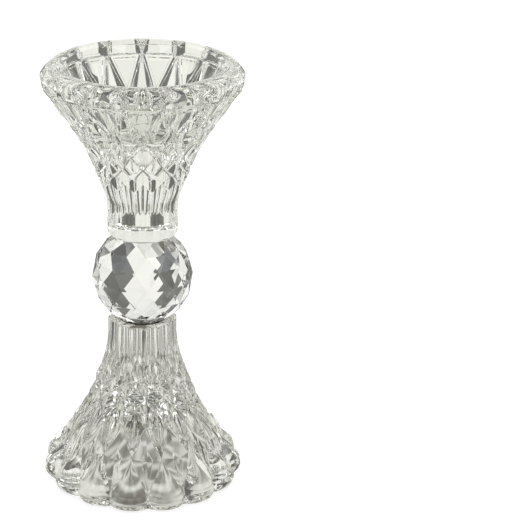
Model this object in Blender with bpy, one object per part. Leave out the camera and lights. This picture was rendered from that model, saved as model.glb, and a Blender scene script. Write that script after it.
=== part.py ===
"""Glass candlestick: a pressed-glass cup and a pressed-glass base, each bonded to a cut crystal ball.

Metres, +Z up. The origin is the centre of the circle that the foot stands on, and the pieces are
stacked on the Z axis from the base up. Cup and base carry the same pattern of equal sectors:
plain flutes on the neck, then a lattice of raised diamonds between V grooves, and large panels at
the wide end. A ring of the pattern is a list of points, told apart by their place in the sector.
"""

import math

import bmesh
import bpy
from mathutils import Matrix, Vector

MM = 0.001

# Pattern
SECTORS = 15
FINE_STEPS = 6  # points in a sector where the surface is curved
LATTICE_STEPS = 2  # points in a sector where it is made of flat facets
BORE_STEPS = 3  # points in a sector on the turned insides
CUP_PHASE = math.radians(0.5)
BASE_PHASE = math.radians(3.3)

SHARP_ANGLE = math.radians(12)
LEVEL = 1e-6  # two places closer than this, in sectors, are the same
SAME_LENGTH = 1e-7

# Joints between the pieces
CONTACT_GAP = 0.3 * MM
BOND_THICKNESS = 0.3 * MM
BOND_INSET = 0.6 * MM  # how far the film stays inside the ball's flat

# Ball
BALL_RADIUS = 20.0 * MM
BALL_FLAT_RADIUS = 10.5 * MM
BALL_INDEX = 12  # corners in a row
BALL_ROWS = (-40, -22, 0, 22, 40)  # elevation of each row of corners, degrees
BALL_PHASE = math.radians(-9)

# Base
BASE_HEIGHT = 67.8 * MM
NECK_RADIUS = 13.7 * MM
NECK_EDGE = 0.6 * MM
FLUTE_DEPTH = 0.9 * MM
FLUTE_RUNOUT = 2.2 * MM  # half the height of the arches that end the flutes
FOOT_RADIUS = 40.4 * MM
FOOT_CREST_HEIGHT = 4.2 * MM
FOOT_GROOVE_DEPTH = 2.6 * MM
FOOT_STAND_INSET = 3.4 * MM  # petal crest to the outer edge of the standing ring
FOOT_STAND_WIDTH = 5.0 * MM
PETAL_SWELL = 1.3 * MM
BASE_WALL = 6.5 * MM
BASE_HOLLOW_TOP = 33.0 * MM
BASE_HOLLOW_TOP_RADIUS = 8.0 * MM
NECK_SHARE = 0.55  # how much of the base's fluted length is straight
NECK_FLARE = (0.5, 0.8)  # rings of the flare below it, as shares of its length
PETAL_RINGS = (0.30, 0.62, 0.86, 1.0)  # lattice to crest
PETAL_EDGE_RINGS = (0.45, 0.8, 1.0)  # crest to standing ring

# Cup
CUP_HEIGHT = 68.7 * MM
COLLAR_EDGE = 1.3 * MM
COLLAR_HEIGHT = 5.9 * MM
STEM_SWELL = 0.2 * MM
STEM_SHARE = 0.45  # how much of the cup's fluted length is straight
STEM_FLARE = (0.4, 0.75)
RIM_RADIUS = 39.2 * MM
RIM_NOTCH_DEPTH = 1.9 * MM
LIP_WIDTH = 9.5 * MM
LIP_CROWN = 1.3 * MM
LIP_SHOULDER = 4.7 * MM
LIP_EDGE_ROUND = 0.4 * MM
LIP_CURVE = (  # shares of the lip's width, of its shoulder's height and of the notch's depth
    (0.05, 0.30, 0.9),
    (0.22, 0.62, 0.5),
    (0.48, 0.90, 0.0),
    (0.70, 1.00, 0.0),
    (0.945, 0.92, 0.0),
)
SEAT_RADIUS = 19.5 * MM
SEAT_DEPTH = 26.8 * MM

# Lattice rows, height above the base's foot or depth below the cup's top, then the radius of the
# groove crossings and how far the diamonds between them stand proud.
BASE_ROWS = {
    "flute_end": (45.8 * MM, 16.9 * MM, 0.0),
    "first": (40.7 * MM, 17.8 * MM, 1.0 * MM),
    "second": (34.8 * MM, 19.2 * MM, 1.3 * MM),
    "third": (28.3 * MM, 22.2 * MM, 1.4 * MM),
    "fourth": (18.3 * MM, 28.9 * MM, 1.8 * MM),
}
CUP_ROWS = {
    "flute_end": (44.2 * MM, 17.3 * MM, 0.0),
    "fourth": (40.6 * MM, 18.3 * MM, 0.7 * MM),
    "third": (36.4 * MM, 18.9 * MM, 1.2 * MM),
    "second": (30.0 * MM, 22.7 * MM, 0.9 * MM),
}
CUP_BAND_DEPTH = 21.7 * MM  # top of the lattice to the cup's top
CUP_BAND_HEIGHT = 3.0 * MM
CUP_BAND_WALL = 5.0 * MM
CUP_PANEL_DEPTH = 11.2 * MM  # where the panels' sides start to close in
CUP_PANEL_RADIUS = 35.6 * MM
CUP_PANEL_GROOVE = 1.9 * MM

# Stack, from the foot up
BALL_HALF_HEIGHT = math.sqrt(BALL_RADIUS**2 - BALL_FLAT_RADIUS**2)
JOINT_HEIGHT = BOND_THICKNESS + 2 * CONTACT_GAP
BALL_CENTRE = BASE_HEIGHT + JOINT_HEIGHT + BALL_HALF_HEIGHT
CUP_BOTTOM = BALL_CENTRE + BALL_HALF_HEIGHT + JOINT_HEIGHT
CUP_TOP = CUP_BOTTOM + CUP_HEIGHT


def clear_scene():
    for obj in list(bpy.data.objects):
        bpy.data.objects.remove(obj, do_unlink=True)


def glass(name, colour, roughness):
    material = bpy.data.materials.new(name)
    material.use_nodes = True
    shader = material.node_tree.nodes["Principled BSDF"]
    shader.inputs["Base Color"].default_value = (*colour, 1.0)
    shader.inputs["Roughness"].default_value = roughness
    shader.inputs["Metallic"].default_value = 0.0
    shader.inputs["IOR"].default_value = 1.52
    shader.inputs["Transmission Weight"].default_value = 1.0
    return material


def crosses_from_above(a, b, c, d):
    """Whether the edge that splits the face a, c, d, b runs from b to c. It joins two grooves where
    there are any, is the shorter one elsewhere, and mirrors about the sector's centre."""
    if b[2] and c[2]:
        return True
    if a[2] and d[2]:
        return False
    falling = (b[1].co - c[1].co).length
    rising = (a[1].co - d[1].co).length
    if abs(falling - rising) > SAME_LENGTH:
        return falling < rising
    return (a[0] + c[0]) / 2 % 1.0 < 0.5


class Rings:
    """A closed skin of rings around Z, each joined to the next one by triangles."""

    def __init__(self, phase):
        self.mesh = bmesh.new()
        self.phase = phase
        self.last = None

    def points(self, steps, shape):
        """The ring's points. shape(u) gives radius, height and whether the point is in a groove,
        at u from 0 at the sector's centre to 0.5 at its edge."""
        ring = []
        for number in range(SECTORS * steps):
            place = number / steps
            u = abs(place - round(place))
            radius, height, groove = shape(u)
            angle = self.phase + 2 * math.pi * place / SECTORS - math.pi / 2
            at = (radius * math.cos(angle), radius * math.sin(angle), height)
            ring.append((place, self.mesh.verts.new(at), groove))
        return ring

    def add(self, steps, shape):
        ring = self.points(steps, shape)
        if self.last:
            self.join(self.last, ring)
        self.last = ring

    def join(self, below, above):
        """Walks round both rings together, one triangle at a time."""
        i = j = 0
        while i < len(below) or j < len(above):
            a, b = below[i % len(below)], above[j % len(above)]
            c, d = below[(i + 1) % len(below)], above[(j + 1) % len(above)]
            next_below = c[0] + (SECTORS if i + 1 >= len(below) else 0)
            next_above = d[0] + (SECTORS if j + 1 >= len(above) else 0)
            if j >= len(above):
                step_below = True
            elif i >= len(below):
                step_below = False
            elif abs(next_below - next_above) < LEVEL:
                step_below = crosses_from_above(a, b, c, d)
            else:
                step_below = next_below < next_above
            if step_below:
                self.mesh.faces.new((a[1], c[1], b[1]))
                i += 1
            else:
                self.mesh.faces.new((a[1], d[1], b[1]))
                j += 1

    def close(self, ring, height):
        """A flat or conical end at this height on the axis."""
        centre = self.mesh.verts.new((0, 0, height))
        for number, point in enumerate(ring):
            self.mesh.faces.new((point[1], ring[(number + 1) % len(ring)][1], centre))

    def finish(self, name, material):
        bmesh.ops.recalc_face_normals(self.mesh, faces=self.mesh.faces)
        data = bpy.data.meshes.new(name)
        self.mesh.to_mesh(data)
        self.mesh.free()
        return place_mesh(name, data, material)


def place_mesh(name, data, material):
    obj = bpy.data.objects.new(name, data)
    bpy.context.scene.collection.objects.link(obj)
    data.materials.append(material)
    data.shade_smooth()
    data.set_sharp_from_angle(angle=SHARP_ANGLE)
    return obj


def turned(radius, height):
    return lambda u: (radius, height, False)


def fluted(radius, height, depth, centre=0.0):
    """A ring across the flutes, which are scooped out between sharp arrises."""

    def shape(u):
        across = abs(u - centre) * 2
        return radius - depth * (1 - across**2), height, False

    return shape


def flute_arch(radius, height, rise):
    """The pointed arches that end the flutes: height at the sector's centre, and rise to its edge."""
    return lambda u: (radius, height + rise * u, False)


def lattice(radius, height, proud, groove_at):
    """A lattice row: groove crossings at groove_at (0 or 0.5) and diamond points halfway between."""

    def shape(u):
        crossing = abs(u - groove_at) < 0.25
        return (radius if crossing else radius + proud), height, crossing

    return shape


def mix(a, b, share):
    return a + (b - a) * share


def base_hollow_profile():
    """The underside's hollow, one wall inside the lattice rows."""
    mouth = FOOT_RADIUS - FOOT_STAND_INSET - FOOT_STAND_WIDTH
    rows = [(mouth, 0.0)]
    for name in ("fourth", "third"):
        height, radius, _ = BASE_ROWS[name]
        rows.append((min(mouth, radius - BASE_WALL), height))
    rows.append((BASE_HOLLOW_TOP_RADIUS, BASE_HOLLOW_TOP))
    return rows


def make_base(material):
    """Flutes are centred on the petals, and the grooves between petals are at the sector's centre."""
    skin = Rings(BASE_PHASE)
    crown = BASE_HEIGHT - NECK_EDGE
    flute_end, end_radius, _ = BASE_ROWS["flute_end"]
    neck_end = mix(crown, flute_end, NECK_SHARE)
    skin.add(FINE_STEPS, fluted(NECK_RADIUS - NECK_EDGE, BASE_HEIGHT, FLUTE_DEPTH / 2, 0.5))
    skin.close(skin.last, BASE_HEIGHT)
    skin.add(FINE_STEPS, fluted(NECK_RADIUS, crown, FLUTE_DEPTH, 0.5))
    skin.add(FINE_STEPS, fluted(NECK_RADIUS, neck_end, FLUTE_DEPTH, 0.5))
    for share in NECK_FLARE:
        radius = mix(NECK_RADIUS, end_radius, share**2)
        skin.add(FINE_STEPS, fluted(radius, mix(neck_end, flute_end, share), FLUTE_DEPTH, 0.5))
    skin.add(FINE_STEPS, flute_arch(end_radius, flute_end, -2 * FLUTE_RUNOUT))
    for name, groove_at in (("first", 0.0), ("second", 0.5), ("third", 0.0), ("fourth", 0.5)):
        height, radius, proud = BASE_ROWS[name]
        skin.add(LATTICE_STEPS, lattice(radius, height, proud, groove_at))
    for share in PETAL_RINGS:
        skin.add(FINE_STEPS, petal_above_crest(share))
    for share in PETAL_EDGE_RINGS:
        skin.add(FINE_STEPS, petal_below_crest(share))
    for radius, height in base_hollow_profile():
        skin.add(BORE_STEPS, turned(radius, height))
    skin.close(skin.last, BASE_HOLLOW_TOP)
    return skin.finish("base", material)


def lobe(u):
    """How far a point is out of the groove, 0 at the groove and 1 on the petal's crest."""
    return math.sqrt(max(0.0, 1 - (1 - 2 * u) ** 2))


def petal_above_crest(share):
    """From the lattice's last row to the petal's crest, along a petal that swells outwards."""
    start_height, start_radius, proud = BASE_ROWS["fourth"]

    def shape(u):
        groove_radius = FOOT_RADIUS - FOOT_GROOVE_DEPTH
        end = mix(groove_radius, FOOT_RADIUS, lobe(u))
        start = mix(start_radius + proud, start_radius, 2 * u)
        swell = PETAL_SWELL * math.sin(math.pi * share) * lobe(u)
        return mix(start, end, share) + swell, mix(start_height, FOOT_CREST_HEIGHT, share), False

    return shape


def petal_below_crest(share):
    """From the crest, round the petal's lower edge, to the ring it stands on."""
    inset = FOOT_STAND_INSET * (1 - math.cos(share * math.pi / 2))
    height = FOOT_CREST_HEIGHT * (1 - math.sin(share * math.pi / 2))

    def shape(u):
        groove = FOOT_GROOVE_DEPTH * (1 - lobe(u)) * (1 - share)
        return FOOT_RADIUS - inset - groove, height, False

    return shape


def cavity_radius(height):
    """The cup's tapered cavity, from the seat up to the lip."""
    seat = CUP_TOP - SEAT_DEPTH
    mouth = CUP_TOP - LIP_CROWN
    return mix(SEAT_RADIUS, RIM_RADIUS - LIP_WIDTH, (height - seat) / (mouth - seat))


def make_cup(material):
    """Flutes and panels are centred in the sector, and the grooves between panels are at its edge."""
    skin = Rings(CUP_PHASE)
    flute_end, end_radius, _ = CUP_ROWS["flute_end"]
    arch_height = CUP_TOP - flute_end
    flute_start = CUP_BOTTOM + COLLAR_HEIGHT
    skin.add(BORE_STEPS, turned(NECK_RADIUS - COLLAR_EDGE, CUP_BOTTOM))
    skin.close(skin.last, CUP_BOTTOM)
    skin.add(BORE_STEPS, turned(NECK_RADIUS, CUP_BOTTOM + COLLAR_EDGE * 1.5))
    skin.add(FINE_STEPS, turned(NECK_RADIUS, flute_start))
    skin.add(FINE_STEPS, fluted(NECK_RADIUS, flute_start + FLUTE_RUNOUT, FLUTE_DEPTH))
    flute_mid = mix(flute_start, arch_height, STEM_SHARE)
    skin.add(FINE_STEPS, fluted(NECK_RADIUS + STEM_SWELL, flute_mid, FLUTE_DEPTH))
    for share in STEM_FLARE:
        radius = mix(NECK_RADIUS, end_radius, share**1.5)
        skin.add(FINE_STEPS, fluted(radius, mix(flute_mid, arch_height, share), FLUTE_DEPTH))
    skin.add(FINE_STEPS, flute_arch(end_radius, arch_height + FLUTE_RUNOUT, -2 * FLUTE_RUNOUT))
    for name, groove_at in (("fourth", 0.5), ("third", 0.0), ("second", 0.5)):
        depth, radius, proud = CUP_ROWS[name]
        skin.add(LATTICE_STEPS, lattice(radius, CUP_TOP - depth, proud, groove_at))
    band_top = CUP_TOP - CUP_BAND_DEPTH + CUP_BAND_HEIGHT
    for height in (band_top - CUP_BAND_HEIGHT, band_top):
        radius = cavity_radius(height) + CUP_BAND_WALL
        skin.add(LATTICE_STEPS, lattice(radius, height, 0.0, 0.0))
    skin.add(FINE_STEPS, panel_row(CUP_TOP - CUP_PANEL_DEPTH, CUP_PANEL_RADIUS, CUP_PANEL_GROOVE))
    for radius, height, notch in lip_rows():
        skin.add(FINE_STEPS, panel_row(height, radius, notch))
    mouth = RIM_RADIUS - LIP_WIDTH
    skin.add(BORE_STEPS, turned(mouth, CUP_TOP - LIP_CROWN))
    skin.add(BORE_STEPS, turned(SEAT_RADIUS, CUP_TOP - SEAT_DEPTH))
    skin.close(skin.last, CUP_TOP - SEAT_DEPTH)
    return skin.finish("cup", material)


def panel_row(height, radius, groove_depth):
    """A ring across the panels, whose edges drop into a V groove in the sector's last third."""

    def shape(u):
        groove = max(0.0, 6 * u - 2) * groove_depth
        bulge = groove_depth * u**2
        return radius - groove - bulge, height, 6 * u > 2.4

    return shape


def lip_rows():
    """Radius, height and notch depth of each ring of the lip, from the panels to the mouth."""
    edge = CUP_TOP - LIP_SHOULDER
    rows = [(RIM_RADIUS - LIP_EDGE_ROUND, edge - 3 * LIP_EDGE_ROUND, RIM_NOTCH_DEPTH)]
    rows.append((RIM_RADIUS, edge, RIM_NOTCH_DEPTH))
    for across, up, notch in LIP_CURVE:
        rows.append((RIM_RADIUS - LIP_WIDTH * across, mix(edge, CUP_TOP, up), RIM_NOTCH_DEPTH * notch))
    return rows


def direction(turn, rise):
    """The unit vector at this turn from the front, -Y, and this rise above the horizontal."""
    return Vector((math.sin(turn) * math.cos(rise), -math.cos(turn) * math.cos(rise), math.sin(rise)))


def make_ball(material):
    """A sphere cut into rows of triangles, whose corners are staggered, with a flat at each pole."""
    skin = bmesh.new()
    pole = math.degrees(math.acos(BALL_FLAT_RADIUS / BALL_RADIUS))
    rows = []
    for row, elevation in enumerate((-pole, *BALL_ROWS, pole)):
        ring = []
        for index in range(BALL_INDEX):
            turn = BALL_PHASE + 2 * math.pi * (index + 0.5 * (row % 2)) / BALL_INDEX
            ring.append(skin.verts.new(direction(turn, math.radians(elevation)) * BALL_RADIUS))
        rows.append(ring)
    for row, (below, above) in enumerate(zip(rows, rows[1:])):
        for index in range(BALL_INDEX):
            after = (index + 1) % BALL_INDEX
            if row % 2:
                skin.faces.new((below[index], above[after], above[index]))
                skin.faces.new((below[index], below[after], above[after]))
            else:
                skin.faces.new((below[index], below[after], above[index]))
                skin.faces.new((below[after], above[after], above[index]))
    skin.faces.new(rows[-1])
    skin.faces.new(tuple(reversed(rows[0])))
    bmesh.ops.recalc_face_normals(skin, faces=skin.faces)
    data = bpy.data.meshes.new("ball")
    skin.to_mesh(data)
    skin.free()
    obj = place_mesh("ball", data, material)
    obj.location = (0, 0, BALL_CENTRE)
    return obj


def make_bond(name, bottom, material):
    """A thin disc of clear adhesive between the ball's flat and its neighbour."""
    disc = bmesh.new()
    bmesh.ops.create_cone(
        disc,
        cap_ends=True,
        segments=48,
        radius1=BALL_FLAT_RADIUS - BOND_INSET,
        radius2=BALL_FLAT_RADIUS - BOND_INSET,
        depth=BOND_THICKNESS,
        matrix=Matrix.Translation((0, 0, BOND_THICKNESS / 2)),
    )
    data = bpy.data.meshes.new(name)
    disc.to_mesh(data)
    disc.free()
    obj = place_mesh(name, data, material)
    obj.location = (0, 0, bottom)
    return obj


def main():
    clear_scene()
    pressed = glass("pressed_glass", (0.93, 0.94, 0.91), 0.04)
    crystal = glass("cut_crystal", (0.97, 0.97, 0.97), 0.0)
    adhesive = glass("clear_adhesive", (0.95, 0.95, 0.93), 0.1)
    make_base(pressed)
    make_ball(crystal)
    make_cup(pressed)
    make_bond("lower_bond", BASE_HEIGHT + CONTACT_GAP, adhesive)
    make_bond("upper_bond", CUP_BOTTOM - CONTACT_GAP - BOND_THICKNESS, adhesive)


main()
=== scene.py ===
"""Looks of the glass candlestick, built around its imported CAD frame.

The CAD's cup, base, ball and bond films are replaced by finer glass of the same size and place: the
lattice of raised diamonds between flat grooves, the lip's lobes, the foot's petals and kites, and
softened edges. Metres, +Z up, with the viewer on the -Y side.
"""

import math

import bmesh
import bpy
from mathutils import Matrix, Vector


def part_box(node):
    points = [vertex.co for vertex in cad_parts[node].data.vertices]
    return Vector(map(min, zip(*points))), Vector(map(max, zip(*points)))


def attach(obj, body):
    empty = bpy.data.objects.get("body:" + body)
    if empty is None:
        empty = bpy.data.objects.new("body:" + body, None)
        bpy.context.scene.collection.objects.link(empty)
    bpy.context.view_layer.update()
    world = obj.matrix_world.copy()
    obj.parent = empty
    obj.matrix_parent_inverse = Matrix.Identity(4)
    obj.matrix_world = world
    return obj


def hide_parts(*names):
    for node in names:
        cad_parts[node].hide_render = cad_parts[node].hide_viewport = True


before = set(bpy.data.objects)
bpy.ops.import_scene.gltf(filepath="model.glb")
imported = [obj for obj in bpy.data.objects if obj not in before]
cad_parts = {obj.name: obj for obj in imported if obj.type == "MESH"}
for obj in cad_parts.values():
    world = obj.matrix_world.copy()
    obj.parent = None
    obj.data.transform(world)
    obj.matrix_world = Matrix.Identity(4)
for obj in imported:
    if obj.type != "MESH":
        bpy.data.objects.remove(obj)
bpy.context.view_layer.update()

MM = 0.001

# Where the pieces are
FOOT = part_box("base")[0].z
BASE_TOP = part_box("base")[1].z
CUP_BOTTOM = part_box("cup")[0].z
CUP_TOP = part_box("cup")[1].z
BALL_LOW, BALL_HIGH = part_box("ball")
BALL_CENTRE = (BALL_LOW.z + BALL_HIGH.z) / 2
CONTACT_GAP = 0.3 * MM  # the CAD's gap between pieces

# Pattern, as in the CAD
SECTORS = 15
CUP_PHASE = math.radians(0.5)
BASE_PHASE = math.radians(3.3)
HALF_STEPS = 12  # columns of faces across half a sector
FINE = tuple(step / (2 * HALF_STEPS) for step in range(HALF_STEPS + 1))  # their places
GROOVE_COLUMNS = 2  # of them, those that the foot's kite and groove take
MERGE = 0.002 * MM
SAME_LENGTH = 1e-7

# Sizes shared by the zones
NECK_RADIUS = 13.7 * MM
FLUTE_DEPTH = 1.2 * MM
RIM_RADIUS = 39.15 * MM
CREASE_ANGLE = math.radians(14)  # edges sharper than this are creases
CREASE_ROUND = 0.15 * MM


def mix(a, b, share):
    return a + (b - a) * share


class Skin:
    """A closed skin of rings around Z. Each ring is given for half a sector, as points of place (0 at
    the sector's centre, 0.5 at its edge), radius, height and, where a groove passes, True; it is
    mirrored and repeated. The faces between two rings can be given to named cells of the pattern."""

    def __init__(self, phase):
        self.mesh = bmesh.new()
        self.phase = phase
        self.last = None
        self.cells = {}

    def ring(self, half):
        ring = []
        made = {}
        for sector in range(SECTORS):
            for side in (-1, 1):
                for u, radius, height, *groove in half[::side]:
                    place = sector + side * u
                    key = (round(place % SECTORS, 5), radius, height)
                    if key not in made:
                        angle = self.phase + 2 * math.pi * place / SECTORS - math.pi / 2
                        at = (radius * math.cos(angle), radius * math.sin(angle), height)
                        made[key] = self.mesh.verts.new(at)
                    ring.append((place, made[key], bool(groove)))
        return ring

    def add(self, half, names=None):
        """Adds a ring and joins it to the last, point to point. names says which cells the new faces
        belong to: one name for each column of the half sector, or the cells nearer its centre and its
        edge."""
        ring = self.ring(half)
        if self.last:
            self.join(self.last, ring, names)
        self.last = ring

    def join(self, below, above, names):
        """Two triangles to each column, cut from groove to groove or else along the shorter way."""
        for number in range(len(below)):
            after = (number + 1) % len(below)
            a, b, c, d = below[number], above[number], below[after], above[after]
            falling = (b[1].co - c[1].co).length
            rising = (a[1].co - d[1].co).length
            if (b[2] and c[2]) != (a[2] and d[2]):
                first = b[2] and c[2]
            elif abs(falling - rising) > SAME_LENGTH:
                first = falling < rising
            else:
                first = (a[0] + SAME_LENGTH) % 1.0 < 0.5
            at = number % (2 * len(FINE))
            column = HALF_STEPS - 1 - at if at <= HALF_STEPS else at - len(FINE)
            if first:
                self.triangle(a, c, b, names, column)
                self.triangle(b, c, d, names, column)
            else:
                self.triangle(a, c, d, names, column)
                self.triangle(a, d, b, names, column)

    def triangle(self, a, b, c, names=None, column=None):
        """A face, unless two of its corners are the same point."""
        if a[1] is b[1] or b[1] is c[1] or c[1] is a[1]:
            return
        face = self.mesh.faces.new((a[1], b[1], c[1]))
        if not names:
            return
        turned = [p[0] - SECTORS * round((p[0] - a[0]) / SECTORS) for p in (a, b, c)]
        place = sum(turned) / 3
        if len(names) == HALF_STEPS:
            name = names[column]
            middle = place if column < GROOVE_COLUMNS else place - 0.5
        else:
            central = abs(place - round(place)) < 0.25
            name = names[0 if central else 1]
            middle = place if central else place - 0.5
        if name:
            self.cells.setdefault((name, round(middle) % SECTORS), []).append(face)

    def close(self, height):
        """A flat end, at this height on the axis, across the last ring."""
        centre = (0, self.mesh.verts.new((0, 0, height)), False)
        for number, point in enumerate(self.last):
            self.triangle(point, self.last[(number + 1) % len(self.last)], centre)

    def raise_cells(self, styles):
        """Sets each named cell back from its neighbours by a strip, and raises it by a steep side."""
        bmesh.ops.recalc_face_normals(self.mesh, faces=self.mesh.faces)
        for (name, _), faces in self.cells.items():
            strip, side, rise = styles[name]
            for thickness, depth in ((strip, 0), (side, rise)):
                bmesh.ops.inset_region(
                    self.mesh,
                    faces=faces,
                    thickness=thickness * MM,
                    depth=depth * MM,
                    use_even_offset=depth == 0,
                    use_boundary=True,
                )

    def finish(self, name):
        """The piece, with flat facets on its cells and smooth surfaces elsewhere."""
        for face in self.mesh.faces:
            face.smooth = True
        for faces in self.cells.values():
            for face in faces:
                face.smooth = False
        data = bpy.data.meshes.new(name)
        self.mesh.to_mesh(data)
        self.mesh.free()
        return place_piece(name, data, CREASE_ANGLE, CREASE_ROUND)


def place_piece(name, data, sharp_angle, bevel):
    """Puts the mesh in the scene, smooth but for its creases, which are rounded a little."""
    obj = bpy.data.objects.new(name, data)
    bpy.context.scene.collection.objects.link(obj)
    if bevel:
        rounding = obj.modifiers.new("rounded edges", "BEVEL")
        rounding.width = bevel
        rounding.segments = 2
        rounding.limit_method = "ANGLE"
        rounding.angle_limit = sharp_angle
        rounding.use_clamp_overlap = True
        rounding.harden_normals = True
    data.set_sharp_from_angle(angle=sharp_angle)
    return obj


def level(radius, height):
    """A plain round ring."""
    return [(u, radius, height) for u in FINE]


def fluted(radius, height, depth, arris):
    """A ring across scooped flutes, whose arrises are at place 0 or 0.5."""
    return [(u, radius - depth * (1 - (1 - 2 * abs(u - arris)) ** 2), height) for u in FINE]


def flute_ends(radius, inward, zero, sign, middle, edge, arris):
    """The flutes' pointed ends, at these distances from zero at the sector's middle and edge."""
    ring = []
    for u, out, _ in fluted(radius * MM, 0, FLUTE_DEPTH, arris):
        ring.append((u, out - inward * MM * 2 * u, zero + sign * mix(middle, edge, 2 * u) * MM))
    return ring


def widened(half):
    """A ring given by fewer points, with its last repeated so that all rings have as many."""
    return half + half[-1:] * (len(FINE) - len(half))


def coarse(skin, rows, zero, sign):
    """Adds flat-faceted rings: each is a distance from zero, its points in millimetres, and the cells
    that its faces belong to."""
    for height, points, names in rows:
        at = zero + sign * height * MM
        skin.add(widened([(u, radius * MM, at, *groove) for u, radius, *groove in points]), names)


# Cup, from its foot up

CUP_ROWS = (
    (40.8, ((0, 18.7), (0.5, 18.0, True)), ("spandrel", None)),
    (36.5, ((0, 18.3, True), (0.5, 20.2)), ("spandrel", "fourth")),
    (30.1, ((0, 23.5), (0.5, 22.0, True)), ("third", "fourth")),
    (23.2, ((0, 26.4, True), (0.36, 27.8), (0.5, 27.9)), ("third", "second")),
    (20.4, ((0, 27.9, True), (0.36, 29.8), (0.5, 29.9)), None),
    (8.0, ((0, 37.1), (0.42, 37.5, True), (0.5, 36.4, True)), ("panel", "wedge")),
)
CUP_CELLS = {  # strip, side and rise of each kind of cell, millimetres
    "spandrel": (0.4, 0.2, 0.4),
    "fourth": (0.45, 0.2, 0.6),
    "third": (0.55, 0.22, 0.7),
    "second": (0.6, 0.22, 0.7),
    "wedge": (0.9, 0.3, 0.8),
    "panel": (0.9, 0.3, 0.7),
}
COLLAR_HEIGHT = 5.6 * MM
COLLAR_ROUND = 1.2 * MM  # the collar's lower edge is an ellipse: how far in, and how high
COLLAR_RISE = 1.9 * MM
FLUTE_FOOT = 1.3 * MM  # how far the flutes' round lower ends rise at the arrises


def cup_stem(skin):
    start = CUP_BOTTOM + COLLAR_HEIGHT
    skin.add(level(NECK_RADIUS - COLLAR_ROUND, CUP_BOTTOM))
    skin.close(CUP_BOTTOM)
    for share in (0.35, 0.7, 1.0):
        angle = share * math.pi / 2
        radius = NECK_RADIUS - COLLAR_ROUND * (1 - math.sin(angle))
        skin.add(level(radius, CUP_BOTTOM + COLLAR_RISE * (1 - math.cos(angle))))
    skin.add([(u, NECK_RADIUS, start + FLUTE_FOOT * (2 * u) ** 2) for u in FINE])
    for rise, share in ((0.5 * MM, 0.75), (1.2 * MM, 1.0)):
        scoop = fluted(NECK_RADIUS, 0, FLUTE_DEPTH * share, 0.5)
        skin.add([(u, radius, start + rise + FLUTE_FOOT * (2 * u) ** 2) for u, radius, _ in scoop])
    for depth, radius in ((55.0, 13.8), (52.2, 14.7), (49.8, 15.6)):
        skin.add(fluted(radius * MM, CUP_TOP - depth * MM, FLUTE_DEPTH, 0.5))
    skin.add(flute_ends(17.3, 0.9, CUP_TOP, -1, 43.4, 47.2, 0.5))
    crown = (0, 18.5 * MM, CUP_TOP - 42.6 * MM)
    arris = (0.5, 16.9 * MM, CUP_TOP - 46.4 * MM, True)
    skin.add(widened([crown, arris]))


# Lip and cavity
LIP_WIDTH = 9.5 * MM
LIP_NOTCH = 1.9 * MM  # depth of the notches between the lobes
LIP_UNDER = ((7.6, 0.8), (6.9, 0.25), (5.9, 0.0))  # depth, and how far in, millimetres
LIP_PLACES = (0.0, 0.05, 0.11, 0.18, 0.26, 0.36, 0.48, 0.6, 0.7, 0.8, 0.9, 0.97)
LIP_CROWN = 0.7  # share of the lip's width where it is highest
LIP_SHOULDER = 4.7 * MM
LIP_INNER_FALL = 1.4 * MM
LOBE_SHARE = 0.12  # share of the notch's depth that the lobe's own curve takes
LOBE_END = 0.3  # place where the lobe turns into the notch
NOTCH_END = 0.3  # share of the lip's width over which the notches fade out
MOUTH_RADIUS = RIM_RADIUS - 9.6 * MM
MOUTH_DEPTH = 1.9 * MM
SEAT_RADIUS = 19.5 * MM
SEAT_DEPTH = 26.8 * MM
SEAT_FILLET = 1.6 * MM


def lip_height(across):
    """Height from the top at a share of the lip's width, from its outer edge to the mouth."""
    if across < LIP_CROWN:
        return -LIP_SHOULDER * (1 - across / LIP_CROWN) ** 2.3
    return -LIP_INNER_FALL * ((across - LIP_CROWN) / (1 - LIP_CROWN)) ** 2


def scallop(radius, height, notch):
    """A ring of shallow lobes with a notch at each sector's edge."""
    ring = []
    for u in FINE:
        side = max(0.0, (u - LOBE_END) / (0.5 - LOBE_END))
        inward = LOBE_SHARE * (u / LOBE_END) ** 2 + (1 - LOBE_SHARE) * side**1.5
        ring.append((u, radius - notch * inward, height))
    return ring


def cup_lip(skin):
    """The rolled lip: a scalloped lower edge, which fades out over a smooth crown."""
    for depth, back in LIP_UNDER:
        skin.add(scallop(RIM_RADIUS - back * MM, CUP_TOP - depth * MM, LIP_NOTCH))
    for across in LIP_PLACES:
        notch = LIP_NOTCH * max(0.0, 1 - across / NOTCH_END) ** 1.3
        skin.add(scallop(RIM_RADIUS - LIP_WIDTH * across, CUP_TOP + lip_height(across), notch))


def cup_cavity(skin):
    skin.add(level(MOUTH_RADIUS, CUP_TOP - MOUTH_DEPTH))
    for share in (0.33, 0.66):
        height = CUP_TOP - mix(MOUTH_DEPTH, SEAT_DEPTH, share)
        skin.add(level(mix(MOUTH_RADIUS, SEAT_RADIUS, share), height))
    for turn in (0.0, 0.33, 0.66, 1.0):
        angle = turn * math.pi / 2
        radius = SEAT_RADIUS - SEAT_FILLET * (1 - math.cos(angle))
        skin.add(level(radius, CUP_TOP - SEAT_DEPTH + SEAT_FILLET * (1 - math.sin(angle))))
    skin.close(CUP_TOP - SEAT_DEPTH)


def make_cup():
    skin = Skin(CUP_PHASE)
    cup_stem(skin)
    coarse(skin, CUP_ROWS, CUP_TOP, -1)
    cup_lip(skin)
    cup_cavity(skin)
    skin.raise_cells(CUP_CELLS)
    return skin.finish("cup_glass")


# Base, from its top down

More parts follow.
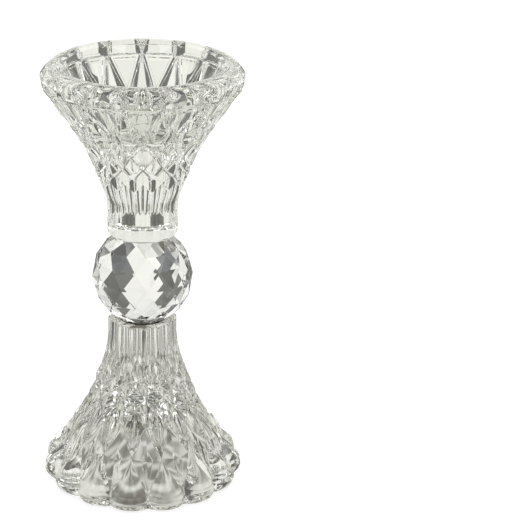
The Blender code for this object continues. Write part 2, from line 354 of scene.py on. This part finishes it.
BASE_ROWS = (
    (39.8, ((0, 17.3, True), (0.5, 19.0)), ("tongue", "first")),
    (34.6, ((0, 20.8), (0.5, 18.8, True)), ("second", "first")),
)
BASE_CELLS = {
    "tongue": (0.3, 0.4, 0.5),
    "first": (0.3, 0.45, 0.6),
    "second": (0.32, 0.5, 0.7),
    "third": (0.32, 0.5, 0.6),
    "kite": (0.3, 0.4, 0.5),
}
NECK_EDGE = 0.7 * MM  # rounding of the neck's upper edge


def base_neck(skin):
    skin.add(fluted(NECK_RADIUS - NECK_EDGE, BASE_TOP, FLUTE_DEPTH * 0.6, 0.0))
    skin.close(BASE_TOP)
    chamfer = NECK_EDGE * 0.3
    skin.add(fluted(NECK_RADIUS - chamfer, BASE_TOP - chamfer, FLUTE_DEPTH * 0.9, 0.0))
    skin.add(fluted(NECK_RADIUS, BASE_TOP - NECK_EDGE, FLUTE_DEPTH, 0.0))
    for height, radius in ((60.9, 13.75), (56.1, 14.2), (53.0, 14.8), (50.6, 15.4)):
        skin.add(fluted(radius * MM, FOOT + height * MM, FLUTE_DEPTH, 0.0))
    skin.add(flute_ends(16.3, 0.0, FOOT, 1, 48.0, 44.8, 0.0))
    arris = (0, 16.6 * MM, FOOT + 46.6 * MM, True)
    crown = (0.5, 17.2 * MM, FOOT + 43.6 * MM)
    skin.add(widened([arris, crown]))


PETAL_STEPS = HALF_STEPS - GROOVE_COLUMNS  # columns of a petal's half
PETAL_PLACES = tuple(step / PETAL_STEPS for step in range(PETAL_STEPS + 1))  # from the petal's edge
PETAL_ROUNDNESS = 0.7


def foot_row(height, kite, groove, edge, crest):
    """Half a sector of the foot: the kite's crease and edge, then the petal from its edge to its middle.
    kite and edge are (place, radius), groove and crest are radii, all but the places in millimetres."""
    at = FOOT + height * MM
    row = [(0.0, groove * MM, at), (kite[0], kite[1] * MM, at)]
    for share in PETAL_PLACES:
        swell = (1 - (1 - share) ** 2) ** PETAL_ROUNDNESS
        point = (mix(edge[0], 0.5, share), mix(edge[1], crest, swell) * MM, at)
        row.append((*point, True) if share == 0 else point)
    return row


KITE = ("kite",) + (None,) * (HALF_STEPS - 1)
KITE_AND_DIAMOND = ("kite", None) + ("third",) * PETAL_STEPS
FOOT_ROWS = (  # height, kite's edge, groove, petal's edge, petal's crest, and the cells above
    (22.4, (0.0, 27.3), 27.3, (0.295, 26.3), 26.7, KITE_AND_DIAMOND),
    (18.3, (0.2, 30.1), 30.8, (0.5, 28.7), 28.7, KITE_AND_DIAMOND),
    (14.6, (0.145, 31.6), 32.4, (0.36, 30.4), 32.9, KITE),
    (10.6, (0.08, 33.2), 33.8, (0.2, 32.4), 36.7, KITE),
    (6.6, (0.02, 35.0), 35.2, (0.05, 34.9), 39.6, KITE),
)
GIRDLE_HEIGHT = 28.3 * MM  # where the lattice ends and the kites begin
GIRDLE_GROOVE, GIRDLE_CREST = 21.5, 23.8
PETAL_TOP = 18.0  # height under which the petals are rounded, and by how much between their rows
PETAL_BULGE = 0.12
ROLL_STEPS = 8  # the petals' rolled lower edge, in millimetres: its height, its width, where it ends
ROLL_HEIGHT = 4.2
ROLL_WIDTH = 3.5
ROLL_EDGE = 36.8
ROLL_GROOVE = 35.6  # radius of the grooves between the petals there, and how much it grows
ROLL_GROOVE_RISE = 0.4
GROOVE_PLACES = (0.012, 0.024)  # how narrow the kite and the groove have become there


def between_rows(upper, lower, share):
    """A row of the foot between two others, which rounds the petals out a little."""
    bulge = PETAL_BULGE * MM * 4 * share * (1 - share)
    row = []
    for column, (above, below) in enumerate(zip(upper, lower)):
        u, radius, at = (mix(one, other, share) for one, other in zip(above[:3], below[:3]))
        out = bulge * (column - 1) / (PETAL_STEPS + 1) if column > 1 else 0.0
        row.append((u, radius + out, at))
    return row


def base_foot(skin):
    """The lowest diamonds, the kites in the grooves between the petals, and the petals."""
    at = FOOT + GIRDLE_HEIGHT
    girdle = [(0.0, GIRDLE_GROOVE * MM, at, True)] * 3
    girdle += [(share / 2, mix(GIRDLE_GROOVE, GIRDLE_CREST, share) * MM, at) for share in PETAL_PLACES[1:]]
    skin.add(girdle, ("second",) + ("third",) * (HALF_STEPS - 1))
    last = None
    for height, kite, groove, edge, crest, names in FOOT_ROWS:
        row = foot_row(height, kite, groove, edge, crest)
        if last and height < PETAL_TOP:
            for share in (0.25, 0.5, 0.75):
                skin.add(between_rows(last, row, share), names)
        skin.add(row, names)
        last = row
    for step in range(ROLL_STEPS + 1):
        angle = math.pi / 2 * step / ROLL_STEPS
        crest = ROLL_EDGE + ROLL_WIDTH * math.cos(angle)
        groove = ROLL_GROOVE + ROLL_GROOVE_RISE * math.cos(angle)
        height = ROLL_HEIGHT * (1 - math.sin(angle))
        kite, edge = ((place, groove) for place in GROOVE_PLACES)
        skin.add(foot_row(height, kite, groove, edge, crest))


HOLLOW_HEIGHT = 33.0
HOLLOW = ((32.0, 0.0), (31.2, 0.6), (22.0, 18.3), (15.5, 28.0), (9.5, 32.0), (4.0, HOLLOW_HEIGHT))


def base_hollow(skin):
    for radius, height in HOLLOW:
        skin.add(level(radius * MM, FOOT + height * MM))
    skin.close(FOOT + HOLLOW_HEIGHT * MM)


def make_base():
    skin = Skin(BASE_PHASE)
    base_neck(skin)
    coarse(skin, BASE_ROWS, FOOT, 1)
    base_foot(skin)
    base_hollow(skin)
    skin.raise_cells(BASE_CELLS)
    return skin.finish("base_glass")


# Ball and bond films

BALL_CREASE = math.radians(5)  # the ball's facets meet at small angles
BALL_EDGE = 0.08 * MM
FLAT = math.radians(1)  # faces that meet at less than this are one facet
FILM_TURNS = 96
FILM_CREASE = math.radians(40)


def make_ball():
    """The CAD ball's own facets, with their edges just taken off."""
    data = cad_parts["ball"].data.copy()
    data.materials.clear()
    trim = bmesh.new()
    trim.from_mesh(data)
    bmesh.ops.remove_doubles(trim, verts=trim.verts, dist=MERGE)
    bmesh.ops.dissolve_limit(trim, angle_limit=FLAT, verts=trim.verts, edges=trim.edges)
    trim.to_mesh(data)
    trim.free()
    data.name = "ball_crystal"
    data.shade_smooth()
    return place_piece("ball_crystal", data, BALL_CREASE, BALL_EDGE)


def make_bond(name, node):
    """A clear film that fills the joint across its gaps, with a rounded bead for an edge."""
    low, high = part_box(node)
    radius = high.x
    bottom, top = low.z - CONTACT_GAP, high.z + CONTACT_GAP
    bead = (top - bottom) / 2
    film = bmesh.new()
    rows = []
    for share in (-1.0, -0.7, 0.0, 0.7, 1.0):
        ring = []
        for step in range(FILM_TURNS):
            angle = 2 * math.pi * step / FILM_TURNS
            out = radius - bead * (1 - math.sqrt(1 - share**2))
            height = (top + bottom) / 2 + bead * share
            ring.append(film.verts.new((out * math.cos(angle), out * math.sin(angle), height)))
        rows.append(ring)
    for below, above in zip(rows, rows[1:]):
        for step in range(FILM_TURNS):
            after = (step + 1) % FILM_TURNS
            film.faces.new((below[step], below[after], above[after], above[step]))
    film.faces.new(rows[-1])
    film.faces.new(tuple(reversed(rows[0])))
    data = bpy.data.meshes.new(name)
    film.to_mesh(data)
    film.free()
    data.shade_smooth()
    return place_piece(name, data, FILM_CREASE, 0)


# Materials

HAZE_SCALE = 90.0
HAZE_LEAST = 0.3  # the lowest roughness, as a share of the highest


def node(tree, kind, **values):
    made = tree.nodes.new(kind)
    for key, value in values.items():
        setattr(made, key, value)
    return made


def glass(name, colour, ior, roughness, waves, wave_size):
    """Clear glass: constants on the shader, with faint waviness and haze that vary over the surface."""
    material = bpy.data.materials.new(name)
    material.use_nodes = True
    tree = material.node_tree
    shader = tree.nodes["Principled BSDF"]
    shader.inputs["Base Color"].default_value = (*colour, 1.0)
    shader.inputs["IOR"].default_value = ior
    shader.inputs["Transmission Weight"].default_value = 1.0
    place = node(tree, "ShaderNodeTexCoord")
    haze = node(tree, "ShaderNodeTexNoise")
    haze.inputs["Scale"].default_value = HAZE_SCALE
    spread = node(tree, "ShaderNodeMapRange")
    spread.inputs["To Min"].default_value = roughness * HAZE_LEAST
    spread.inputs["To Max"].default_value = roughness
    tree.links.new(place.outputs["Object"], haze.inputs["Vector"])
    tree.links.new(haze.outputs["Fac"], spread.inputs["Value"])
    tree.links.new(spread.outputs["Result"], shader.inputs["Roughness"])
    if waves:
        ripple = node(tree, "ShaderNodeTexNoise")
        ripple.inputs["Scale"].default_value = 1 / wave_size
        ripple.inputs["Detail"].default_value = 1.0
        bump = node(tree, "ShaderNodeBump")
        bump.inputs["Strength"].default_value = 1.0
        bump.inputs["Distance"].default_value = waves
        tree.links.new(place.outputs["Object"], ripple.inputs["Vector"])
        tree.links.new(ripple.outputs["Fac"], bump.inputs["Height"])
        tree.links.new(bump.outputs["Normal"], shader.inputs["Normal"])
    return material


# Stage

TABLE_REACH = 0.4  # the shading's reach from the axis
TABLE_SHADE = ((0.0, 0.6), (1.0, 1.0), (0.08, 0.9), (0.11, 1.0))
CAUSTIC_SIZE = 15 * MM
SKY_SHADE = ((0.0, 1.0), (1.0, 0.35), (0.45, 0.95), (0.6, 0.3), (0.75, 0.18), (0.9, 0.3))
SHEET_HALF = 6.0
FLOOR_DROP = 0.02 * MM  # how far under the foot the floor lies, clear of it
TABLE_DROP = 0.04 * MM
FLOOR_GLOW = 0.72
WEDGES = 8
TABLE_DARK = (0.15, 0.155, 0.165, 1.0)  # the darkest table, far from the glass, and near it, where it is the glass's painted shadow, tinted warm brown
CAUSTIC_DARK = (0.11, 0.095, 0.07, 1.0)
TABLE_PALE = (1.0, 1.0, 0.98, 1.0)
CARDS = 8
CARD_TONE = (0.16, 0.16, 0.15, 1.0)
CARD_DISTANCE = 0.2
CARD_TOP = 0.13
CARD_HALF = math.radians(11)
LAMPS = 4
LAMP_SIZE = 0.6
LAMP_ENERGY = 2.2
LAMP_RISE = math.radians(48)
LAMP_DISTANCE = 1.2
CAMERA_RISE = math.radians(22.46)
CAMERA_DISTANCE = 0.772


def add_panel(name, corners, material):
    """A four-cornered face of the stage."""
    data = bpy.data.meshes.new(name)
    data.from_pydata(corners, [], [(0, 1, 2, 3)])
    data.materials.append(material)
    obj = bpy.data.objects.new(name, data)
    bpy.context.scene.collection.objects.link(obj)
    return obj


def add_sheet(name, height, material):
    """A level square of the stage."""
    low, high = -SHEET_HALF, SHEET_HALF
    places = ((low, low), (high, low), (high, high), (low, high))
    return add_panel(name, [(x, y, height) for x, y in places], material)


def matt(name, colour):
    """A rough material without a shine, and its shader."""
    material = bpy.data.materials.new(name)
    material.use_nodes = True
    shader = material.node_tree.nodes["Principled BSDF"]
    shader.inputs["Base Color"].default_value = colour
    shader.inputs["Roughness"].default_value = 1.0
    shader.inputs["Specular IOR Level"].default_value = 0.0
    return material, shader


def make_floor():
    """The white floor that the camera sees."""
    material, shader = matt("floor", (0.5, 0.5, 0.5, 1.0))
    shader.inputs["Emission Color"].default_value = (1.0, 1.0, 1.0, 1.0)
    shader.inputs["Emission Strength"].default_value = FLOOR_GLOW
    floor = add_sheet("floor", FOOT - FLOOR_DROP, material)
    floor.visible_glossy = False
    floor.visible_transmission = False
    floor.visible_diffuse = False


def ramp(tree, value, stops):
    """A grey ramp over a value from 0 to 1."""
    made = node(tree, "ShaderNodeValToRGB")
    ends = made.color_ramp.elements
    for place, (at, tone) in enumerate(stops):
        stop = ends[place] if place < 2 else ends.new(at)
        stop.position = at
        stop.color = (tone, tone, tone * 0.97, 1.0)
    tree.links.new(value, made.inputs["Fac"])
    return made.outputs["Color"]


def spokes(tree, turn, count, phase, low, high):
    """A wave round the object: 0 where its cosine is low, 1 where it is high."""
    many = node(tree, "ShaderNodeMath", operation="MULTIPLY_ADD")
    many.inputs[1].default_value = count
    many.inputs[2].default_value = phase
    wave = node(tree, "ShaderNodeMath", operation="COSINE")
    made = node(tree, "ShaderNodeMapRange")
    made.inputs["From Min"].default_value = low
    made.inputs["From Max"].default_value = high
    tree.links.new(turn, many.inputs[0])
    tree.links.new(many.outputs[0], wave.inputs[0])
    tree.links.new(wave.outputs[0], made.inputs["Value"])
    return made.outputs["Result"]


def make_table():
    """The table that the glass shows, a glowing sheet with light and shade painted on: the glass's own
    shadow and the bright streaks of light that its grooves throw into it, painted under and near the foot,
    and wide pale and grey wedges further out."""
    material = bpy.data.materials.new("table")
    material.use_nodes = True
    tree = material.node_tree
    tree.nodes.clear()
    out = node(tree, "ShaderNodeOutputMaterial")
    glow = node(tree, "ShaderNodeEmission")
    place = node(tree, "ShaderNodeNewGeometry")
    away = node(tree, "ShaderNodeVectorMath", operation="LENGTH")
    tree.links.new(place.outputs["Position"], away.inputs[0])
    span = node(tree, "ShaderNodeMath", operation="DIVIDE")
    span.inputs[1].default_value = TABLE_REACH
    tree.links.new(away.outputs["Value"], span.inputs[0])
    split = node(tree, "ShaderNodeSeparateXYZ")
    turn = node(tree, "ShaderNodeMath", operation="ARCTAN2")
    tree.links.new(place.outputs["Position"], split.inputs["Vector"])
    tree.links.new(split.outputs["X"], turn.inputs[0])
    tree.links.new(split.outputs["Y"], turn.inputs[1])
    shade = ramp(tree, span.outputs[0], TABLE_SHADE)
    wedges = spokes(tree, turn.outputs[0], WEDGES, 0.0, -0.25, 0.15)
    streaks = spokes(tree, turn.outputs[0], SECTORS, math.pi + SECTORS * BASE_PHASE, -0.4, 0.5)
    cells = node(tree, "ShaderNodeTexVoronoi", feature="DISTANCE_TO_EDGE")
    cells.inputs["Scale"].default_value = 1 / CAUSTIC_SIZE
    tree.links.new(place.outputs["Position"], cells.inputs["Vector"])
    lines = ramp(tree, cells.outputs["Distance"], ((0.0, 1.0), (0.5, 0.15), (0.07, 0.85), (0.16, 0.35)))
    light = node(tree, "ShaderNodeMix", data_type="RGBA", blend_type="MIX")
    ring = ramp(tree, span.outputs[0], ((0.055, 0.0), (1.0, 0.85), (0.085, 0.85)))
    tree.links.new(ring, light.inputs["Factor"])
    tree.links.new(lines, light.inputs["A"])
    tree.links.new(streaks, light.inputs["B"])
    near = ramp(tree, span.outputs[0], ((0.0, 1.0), (1.0, 0.0), (0.14, 1.0), (0.28, 0.0)))
    pattern = node(tree, "ShaderNodeMix", data_type="RGBA", blend_type="MIX")
    tree.links.new(near, pattern.inputs["Factor"])
    tree.links.new(wedges, pattern.inputs["A"])
    tree.links.new(light.outputs["Result"], pattern.inputs["B"])
    dark = node(tree, "ShaderNodeMix", data_type="RGBA")
    dark.inputs["A"].default_value = TABLE_DARK
    dark.inputs["B"].default_value = CAUSTIC_DARK
    tree.links.new(near, dark.inputs["Factor"])
    tone = node(tree, "ShaderNodeMix", data_type="RGBA")
    tone.inputs["B"].default_value = TABLE_PALE
    tree.links.new(pattern.outputs["Result"], tone.inputs["Factor"])
    tree.links.new(dark.outputs["Result"], tone.inputs["A"])
    shaded = node(tree, "ShaderNodeMix", data_type="RGBA", blend_type="MULTIPLY")
    shaded.inputs["Factor"].default_value = 1.0
    tree.links.new(shade, shaded.inputs["A"])
    tree.links.new(tone.outputs["Result"], shaded.inputs["B"])
    tree.links.new(shaded.outputs["Result"], glow.inputs["Color"])
    tree.links.new(glow.outputs[0], out.inputs["Surface"])
    table = add_sheet("table", FOOT - TABLE_DROP, material)
    table.visible_camera = False
    table.visible_diffuse = False
    table.visible_shadow = False


def make_world():
    """A studio: white round and under the horizon, dark above the lamps, and grey overhead."""
    world = bpy.data.worlds.new("studio")
    bpy.context.scene.world = world
    world.use_nodes = True
    tree = world.node_tree
    background = tree.nodes["Background"]
    place = node(tree, "ShaderNodeTexCoord")
    split = node(tree, "ShaderNodeSeparateXYZ")
    shade = ramp(tree, split.outputs["Z"], SKY_SHADE)
    tree.links.new(place.outputs["Generated"], split.inputs["Vector"])
    tree.links.new(shade, background.inputs["Color"])
    background.inputs["Strength"].default_value = 1.0


def make_cards():
    """Dark cards in a ring round the object, which the glass shows and the camera doesn't."""
    material, _ = matt("card", CARD_TONE)
    for number in range(CARDS):
        middle = math.tau * (number + 0.5) / CARDS
        left, right = middle - CARD_HALF, middle + CARD_HALF
        corners = []
        for turn, z in ((left, FOOT), (right, FOOT), (right, CARD_TOP), (left, CARD_TOP)):
            corners.append((CARD_DISTANCE * math.sin(turn), -CARD_DISTANCE * math.cos(turn), z))
        obj = add_panel("card", corners, material)
        obj.visible_camera = False
        obj.visible_diffuse = False
        obj.visible_shadow = False


def stand(obj, turn, rise, distance):
    """Puts a lamp or camera at a distance from the ball's centre, facing it."""
    away = Vector((math.sin(turn) * math.cos(rise), -math.cos(turn) * math.cos(rise), math.sin(rise)))
    obj.location = Vector((0, 0, BALL_CENTRE)) + away * distance
    obj.rotation_euler = away.to_track_quat("Z", "Y").to_euler()
    bpy.context.scene.collection.objects.link(obj)


def make_lamps():
    """Softboxes high round the object."""
    for number in range(LAMPS):
        lamp = bpy.data.lights.new("softbox", "AREA")
        lamp.shape = "SQUARE"
        lamp.size = LAMP_SIZE
        lamp.energy = LAMP_ENERGY
        obj = bpy.data.objects.new("softbox", lamp)
        stand(obj, math.tau * (number + 0.5) / LAMPS, LAMP_RISE, LAMP_DISTANCE)


def make_camera():
    """The photo's camera. The shifts put the object at the photo's left, where it stands."""
    camera = bpy.data.cameras.new("camera")
    camera.lens = 132.5
    camera.sensor_width = 36.0
    camera.shift_x = 0.2315
    camera.shift_y = 0.0198
    camera.clip_end = 30.0
    obj = bpy.data.objects.new("camera", camera)
    stand(obj, 0.0, CAMERA_RISE, CAMERA_DISTANCE)
    bpy.context.scene.camera = obj


def main():
    scene = bpy.context.scene
    scene.view_settings.view_transform = "Standard"
    scene.cycles.max_bounces = 32
    scene.cycles.transmission_bounces = 32
    scene.cycles.glossy_bounces = 16
    pressed = glass("pressed_glass", (0.86, 0.865, 0.83), 1.52, 0.02, 0.12 * MM, 9 * MM)
    crystal = glass("cut_crystal", (0.93, 0.93, 0.92), 1.6, 0.004, 0, 1)
    adhesive = glass("clear_adhesive", (0.97, 0.97, 0.95), 1.5, 0.05, 0, 1)
    pieces = (
        (make_base(), "base", pressed, "pressed_glass"),
        (make_cup(), "cup", pressed, "pressed_glass"),
        (make_ball(), "ball", crystal, "cut_crystal"),
        (make_bond("lower_bond_film", "lower_bond"), "lower_bond", adhesive, "clear_adhesive"),
        (make_bond("upper_bond_film", "upper_bond"), "upper_bond", adhesive, "clear_adhesive"),
    )
    for piece, cad, material, slot in pieces:
        piece.data.materials.append(material)
        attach(piece, "root")
        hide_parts(cad)
    make_floor()
    make_table()
    make_world()
    make_cards()
    make_lamps()
    make_camera()


main()
